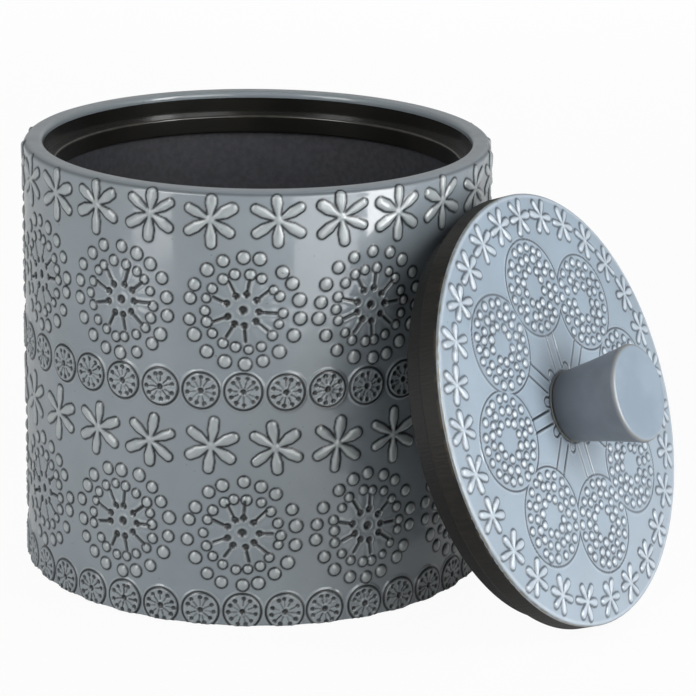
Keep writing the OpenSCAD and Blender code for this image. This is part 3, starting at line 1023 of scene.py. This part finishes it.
def make_knob():
    """The knob, turned from its profile, and out of round by a few hundredths of a millimetre."""
    around = 192
    turn = 2 * math.pi * np.arange(around) / around
    r, z = knob_profile()
    side = rise(z, 2, 12) * rise(KNOB_H - z, 0.1, 2)
    reach = r[None, :] + 0.03 * np.sin(3 * turn + 1)[:, None] * side[None, :]
    height = np.broadcast_to(z, reach.shape)
    points = on_lid(reach * np.cos(turn)[:, None], reach * np.sin(turn)[:, None], height)
    end_edge = np.hypot(r - KNOB_END_R + 0.15, z - KNOB_H + 0.15)
    ring_edge = np.hypot(r - KNOB_RING_R + 0.15, z - KNOB_RING_TOP + 0.05)
    parts = {
        "end": rise(z, KNOB_H - 0.35, KNOB_H - 0.05),
        "worn": np.maximum(bell(end_edge, 0.28), 0.8 * bell(ring_edge, 0.2)),
        # Painted shade on the knob's side, darkest at its foot beside the lid.
        "crevice": 0.5 * bell(z - KNOB_RING_TOP, 4),
    }
    parts = {part: np.broadcast_to(values, reach.shape) for part, values in parts.items()}
    made = skin_mesh("lid_knob", points, True, False, parts)
    close_poles(made)
    made.data.materials.append(knob_glaze())
    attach(made, "lid")
    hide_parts("knob")


def close_poles(made):
    """Merges the points that lie on the axis at either end of a turned surface."""
    work = bmesh.new()
    work.from_mesh(made.data)
    bmesh.ops.remove_doubles(work, verts=work.verts, dist=0.003 * MM)
    work.to_mesh(made.data)
    work.free()


def dress_frame():
    """Gives the nodes that are shown as they are their materials."""
    looks = {
        "inner_cup": cup_lacquer(),
        "ledge_ring": ring_lacquer(),
        "base_pad": pad_rubber(),
        "lid_core": lid_bronze("lid_bronze", srgb(14, 13, 10), srgb(36, 31, 23), 1.0),
        "lid_plug": lid_bronze("plug_lacquer", srgb(14, 14, 13), srgb(24, 22, 19), 0.6),
    }
    steel = bright_steel()
    looks["knob_screw"] = looks["knob_washer"] = steel
    for node, material in looks.items():
        mesh = frame["nodes"][node].data
        mesh.materials.clear()
        mesh.materials.append(material)


# Floor, world and lamps


def make_floor():
    """A pale floor that the lamps and the world light.

    The camera and glass see it almost as plain white, so that only its shadow shows, and gloss sees
    it a little paler than it is lit.
    """
    half = 6.0
    white_share, gloss_share = 0.95, 0.15
    corners = [(-half, -half, 0), (half, -half, 0), (half, half, 0), (-half, half, 0)]
    mesh = bpy.data.meshes.new("floor")
    mesh.from_pydata(corners, [], [(0, 1, 2, 3)])
    floor = bpy.data.objects.new("floor", mesh)
    bpy.context.scene.collection.objects.link(floor)
    paint = new_paint("floor_white")
    paint.set(Base_Color=(0.66, 0.66, 0.66), Roughness=0.9)
    glow = paint.node("ShaderNodeEmission", {}, {"Color": (1, 1, 1), "Strength": 1.0})
    camera_ray = paint.node("ShaderNodeLightPath", output="Is Camera Ray")
    glossy_ray = camera_ray.other("Is Glossy Ray")
    through_ray = camera_ray.other("Is Transmission Ray")
    seen = camera_ray * white_share + glossy_ray * gloss_share + through_ray * white_share
    share = paint.node("ShaderNodeMath", {"operation": "MINIMUM"}, {0: seen, 1: white_share})
    lit = Value(paint, paint.shader.outputs[0])
    mixed = paint.node("ShaderNodeMixShader", {}, {0: share, 1: lit, 2: glow})
    paint.feed(paint.tree.nodes["Material Output"].inputs["Surface"], mixed)
    mesh.materials.append(paint.owner)


def make_world():
    """Weak light from all round. Gloss sees it a little paler, and the camera and glass as white."""
    world = bpy.data.worlds.new("studio")
    bpy.context.scene.world = world
    paint = Paint(world, "Background")
    glossy_ray = paint.node("ShaderNodeLightPath", output="Is Glossy Ray")
    through_ray = glossy_ray.other("Is Transmission Ray")
    camera_ray = glossy_ray.other("Is Camera Ray")
    strength = 0.12
    for ray, seen in ((glossy_ray, 0.34), (through_ray, 1.0), (camera_ray, 1.0)):
        strength = paint.node("ShaderNodeMix", {}, {0: ray, 2: strength, 3: seen})
    paint.set(Color=(1, 1, 1), Strength=strength)


def softbox(name, at, toward, size, power):
    """A square lamp at a place, in metres, aimed at another."""
    data = bpy.data.lights.new(name, "AREA")
    data.shape = "RECTANGLE"
    data.size, data.size_y = size
    data.energy = power
    lamp = bpy.data.objects.new(name, data)
    lamp.location = at
    lamp.rotation_mode = "QUATERNION"
    lamp.rotation_quaternion = (Vector(toward) - Vector(at)).to_track_quat("-Z", "Y")
    bpy.context.scene.collection.objects.link(lamp)
    return lamp


def make_lamps():
    """Two soft lamps in front, and one behind that shows in no reflection.

    Two tall ones show in the glaze, and a small one shows only in the gloss of the wall's right side.
    """
    middle = (0.02, 0, 0.05)
    softbox("front_left_softbox", (-0.75, -0.85, 0.8), middle, (0.6, 0.6), 4.3)
    softbox("front_right_softbox", (0.75, -0.95, 0.75), middle, (0.6, 0.6), 2.3)
    behind = softbox("back_softbox", (0.1, 1.2, 0.5), middle, (0.8, 0.5), 9)
    behind.visible_glossy = False
    softbox("left_tall_softbox", (-0.288, -0.259, 0.2), (0, 0, 0.2), (0.14, 0.4), 0.55)
    softbox("right_tall_softbox", (0.311, -0.194, 0.2), (0, 0, 0.2), (0.09, 0.4), 1.2)
    card = softbox("right_reflector", (0.153, -0.266, 0.15), (0, 0, 0.15), (0.16, 0.3), 0.42)
    card.visible_diffuse = False


bpy.context.scene.view_settings.view_transform = "Standard"
WALL_GLAZE = wall_glaze()
LID_GLAZE = lid_glaze()
make_camera()
make_wall()
make_lid_face()
make_knob()
dress_frame()
make_floor()
make_world()
make_lamps()
